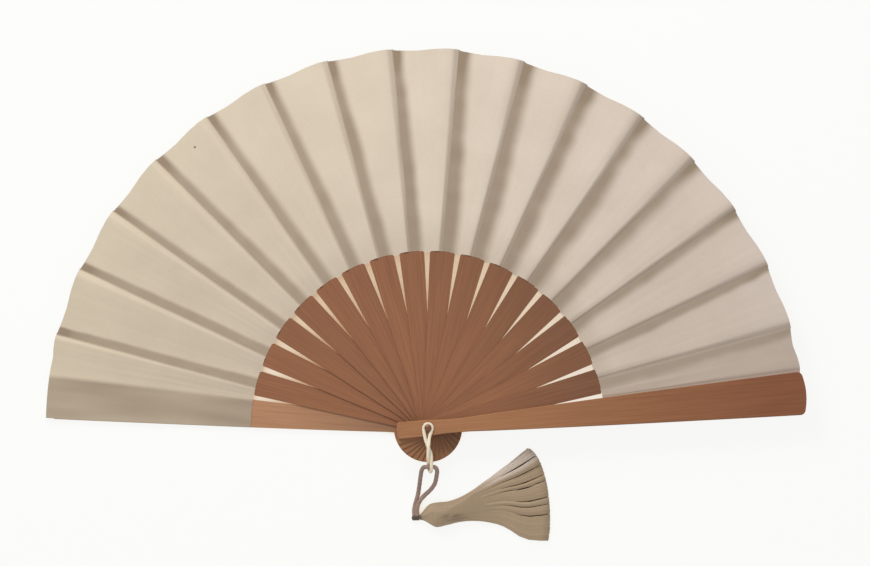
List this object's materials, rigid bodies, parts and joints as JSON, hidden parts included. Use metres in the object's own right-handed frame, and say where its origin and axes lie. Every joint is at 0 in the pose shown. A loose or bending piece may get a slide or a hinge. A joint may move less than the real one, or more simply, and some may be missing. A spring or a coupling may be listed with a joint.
{
  "type": "folding hand fan",
  "caption": "Folding hand fan lying open: a pleated leaf glued over wooden sticks between two guards, riveted at the pivot, with a cord loop and tassel.",
  "frame": {"origin": "the rivet's axis on the back guard's rear face, which lies on the table", "axes": "+X across the open fan, +Y up its middle, +Z out of the table through the rivet"},
  "size_m": [0.4237, 0.2742, 0.0235],
  "materials": {
    "guard_wood": "satin varnish",
    "stick_wood": "satin varnish",
    "leaf_paper": "matt, faintly fibrous",
    "rivet_metal": "dark bronzed",
    "loop_cord": "soft cotton",
    "tassel_cord": "soft satin braid",
    "tassel_knot": "tight, dark",
    "tassel_yarn": "combed yarn"
  },
  "bodies": {
    "back_guard": {"back_guard": "guard_wood", "rivet": "rivet_metal", "rivet_washer": "rivet_metal", "leaf": "leaf_paper", "hanging_loop": "loop_cord", "tassel_cord": "tassel_cord", "tassel_knot": "tassel_knot", "tassel": "tassel_yarn"},
    "stick_01": {"stick_01": "stick_wood"},
    "stick_02": {"stick_02": "stick_wood"},
    "stick_03": {"stick_03": "stick_wood"},
    "stick_04": {"stick_04": "stick_wood"},
    "stick_05": {"stick_05": "stick_wood"},
    "stick_06": {"stick_06": "stick_wood"},
    "stick_07": {"stick_07": "stick_wood"},
    "stick_08": {"stick_08": "stick_wood"},
    "stick_09": {"stick_09": "stick_wood"},
    "stick_10": {"stick_10": "stick_wood"},
    "stick_11": {"stick_11": "stick_wood"},
    "stick_12": {"stick_12": "stick_wood"},
    "stick_13": {"stick_13": "stick_wood"},
    "stick_14": {"stick_14": "stick_wood"},
    "stick_15": {"stick_15": "stick_wood"},
    "stick_16": {"stick_16": "stick_wood"},
    "front_guard": {"front_guard": "guard_wood"}
  },
  "joints": [
    {"name": "fold_stick_01", "type": "hinge", "parent": "back_guard", "child": "stick_01", "pos_m": [0, 0, 0], "axis": [0, 0, 1], "range_deg": [0, 10], "deforming": ["leaf"]},
    {"name": "fold_stick_02", "type": "hinge", "parent": "stick_01", "child": "stick_02", "pos_m": [0, 0, 0], "axis": [0, 0, 1], "range_deg": [0, 10]},
    {"name": "fold_stick_03", "type": "hinge", "parent": "stick_02", "child": "stick_03", "pos_m": [0, 0, 0], "axis": [0, 0, 1], "range_deg": [0, 10]},
    {"name": "fold_stick_04", "type": "hinge", "parent": "stick_03", "child": "stick_04", "pos_m": [0, 0, 0], "axis": [0, 0, 1], "range_deg": [0, 10]},
    {"name": "fold_stick_05", "type": "hinge", "parent": "stick_04", "child": "stick_05", "pos_m": [0, 0, 0], "axis": [0, 0, 1], "range_deg": [0, 10]},
    {"name": "fold_stick_06", "type": "hinge", "parent": "stick_05", "child": "stick_06", "pos_m": [0, 0, 0], "axis": [0, 0, 1], "range_deg": [0, 10]},
    {"name": "fold_stick_07", "type": "hinge", "parent": "stick_06", "child": "stick_07", "pos_m": [0, 0, 0], "axis": [0, 0, 1], "range_deg": [0, 10]},
    {"name": "fold_stick_08", "type": "hinge", "parent": "stick_07", "child": "stick_08", "pos_m": [0, 0, 0], "axis": [0, 0, 1], "range_deg": [0, 10]},
    {"name": "fold_stick_09", "type": "hinge", "parent": "stick_08", "child": "stick_09", "pos_m": [0, 0, 0], "axis": [0, 0, 1], "range_deg": [0, 10]},
    {"name": "fold_stick_10", "type": "hinge", "parent": "stick_09", "child": "stick_10", "pos_m": [0, 0, 0], "axis": [0, 0, 1], "range_deg": [0, 10]},
    {"name": "fold_stick_11", "type": "hinge", "parent": "stick_10", "child": "stick_11", "pos_m": [0, 0, 0], "axis": [0, 0, 1], "range_deg": [0, 10]},
    {"name": "fold_stick_12", "type": "hinge", "parent": "stick_11", "child": "stick_12", "pos_m": [0, 0, 0], "axis": [0, 0, 1], "range_deg": [0, 10]},
    {"name": "fold_stick_13", "type": "hinge", "parent": "stick_12", "child": "stick_13", "pos_m": [0, 0, 0], "axis": [0, 0, 1], "range_deg": [0, 10]},
    {"name": "fold_stick_14", "type": "hinge", "parent": "stick_13", "child": "stick_14", "pos_m": [0, 0, 0], "axis": [0, 0, 1], "range_deg": [0, 10]},
    {"name": "fold_stick_15", "type": "hinge", "parent": "stick_14", "child": "stick_15", "pos_m": [0, 0, 0], "axis": [0, 0, 1], "range_deg": [0, 10]},
    {"name": "fold_stick_16", "type": "hinge", "parent": "stick_15", "child": "stick_16", "pos_m": [0, 0, 0], "axis": [0, 0, 1], "range_deg": [0, 10]},
    {"name": "fold_front_guard", "type": "hinge", "parent": "stick_16", "child": "front_guard", "pos_m": [0, 0, 0], "axis": [0, 0, 1], "range_deg": [0, 10]}
  ],
  "couplings": [
    {"joint": "fold_stick_02", "follows": "fold_stick_01", "ratio": 1},
    {"joint": "fold_stick_03", "follows": "fold_stick_01", "ratio": 1},
    {"joint": "fold_stick_04", "follows": "fold_stick_01", "ratio": 1},
    {"joint": "fold_stick_05", "follows": "fold_stick_01", "ratio": 1},
    {"joint": "fold_stick_06", "follows": "fold_stick_01", "ratio": 1},
    {"joint": "fold_stick_07", "follows": "fold_stick_01", "ratio": 1},
    {"joint": "fold_stick_08", "follows": "fold_stick_01", "ratio": 1},
    {"joint": "fold_stick_09", "follows": "fold_stick_01", "ratio": 1},
    {"joint": "fold_stick_10", "follows": "fold_stick_01", "ratio": 1},
    {"joint": "fold_stick_11", "follows": "fold_stick_01", "ratio": 1},
    {"joint": "fold_stick_12", "follows": "fold_stick_01", "ratio": 1},
    {"joint": "fold_stick_13", "follows": "fold_stick_01", "ratio": 1},
    {"joint": "fold_stick_14", "follows": "fold_stick_01", "ratio": 1},
    {"joint": "fold_stick_15", "follows": "fold_stick_01", "ratio": 1},
    {"joint": "fold_stick_16", "follows": "fold_stick_01", "ratio": 1},
    {"joint": "fold_front_guard", "follows": "fold_stick_01", "ratio": 1}
  ]
}
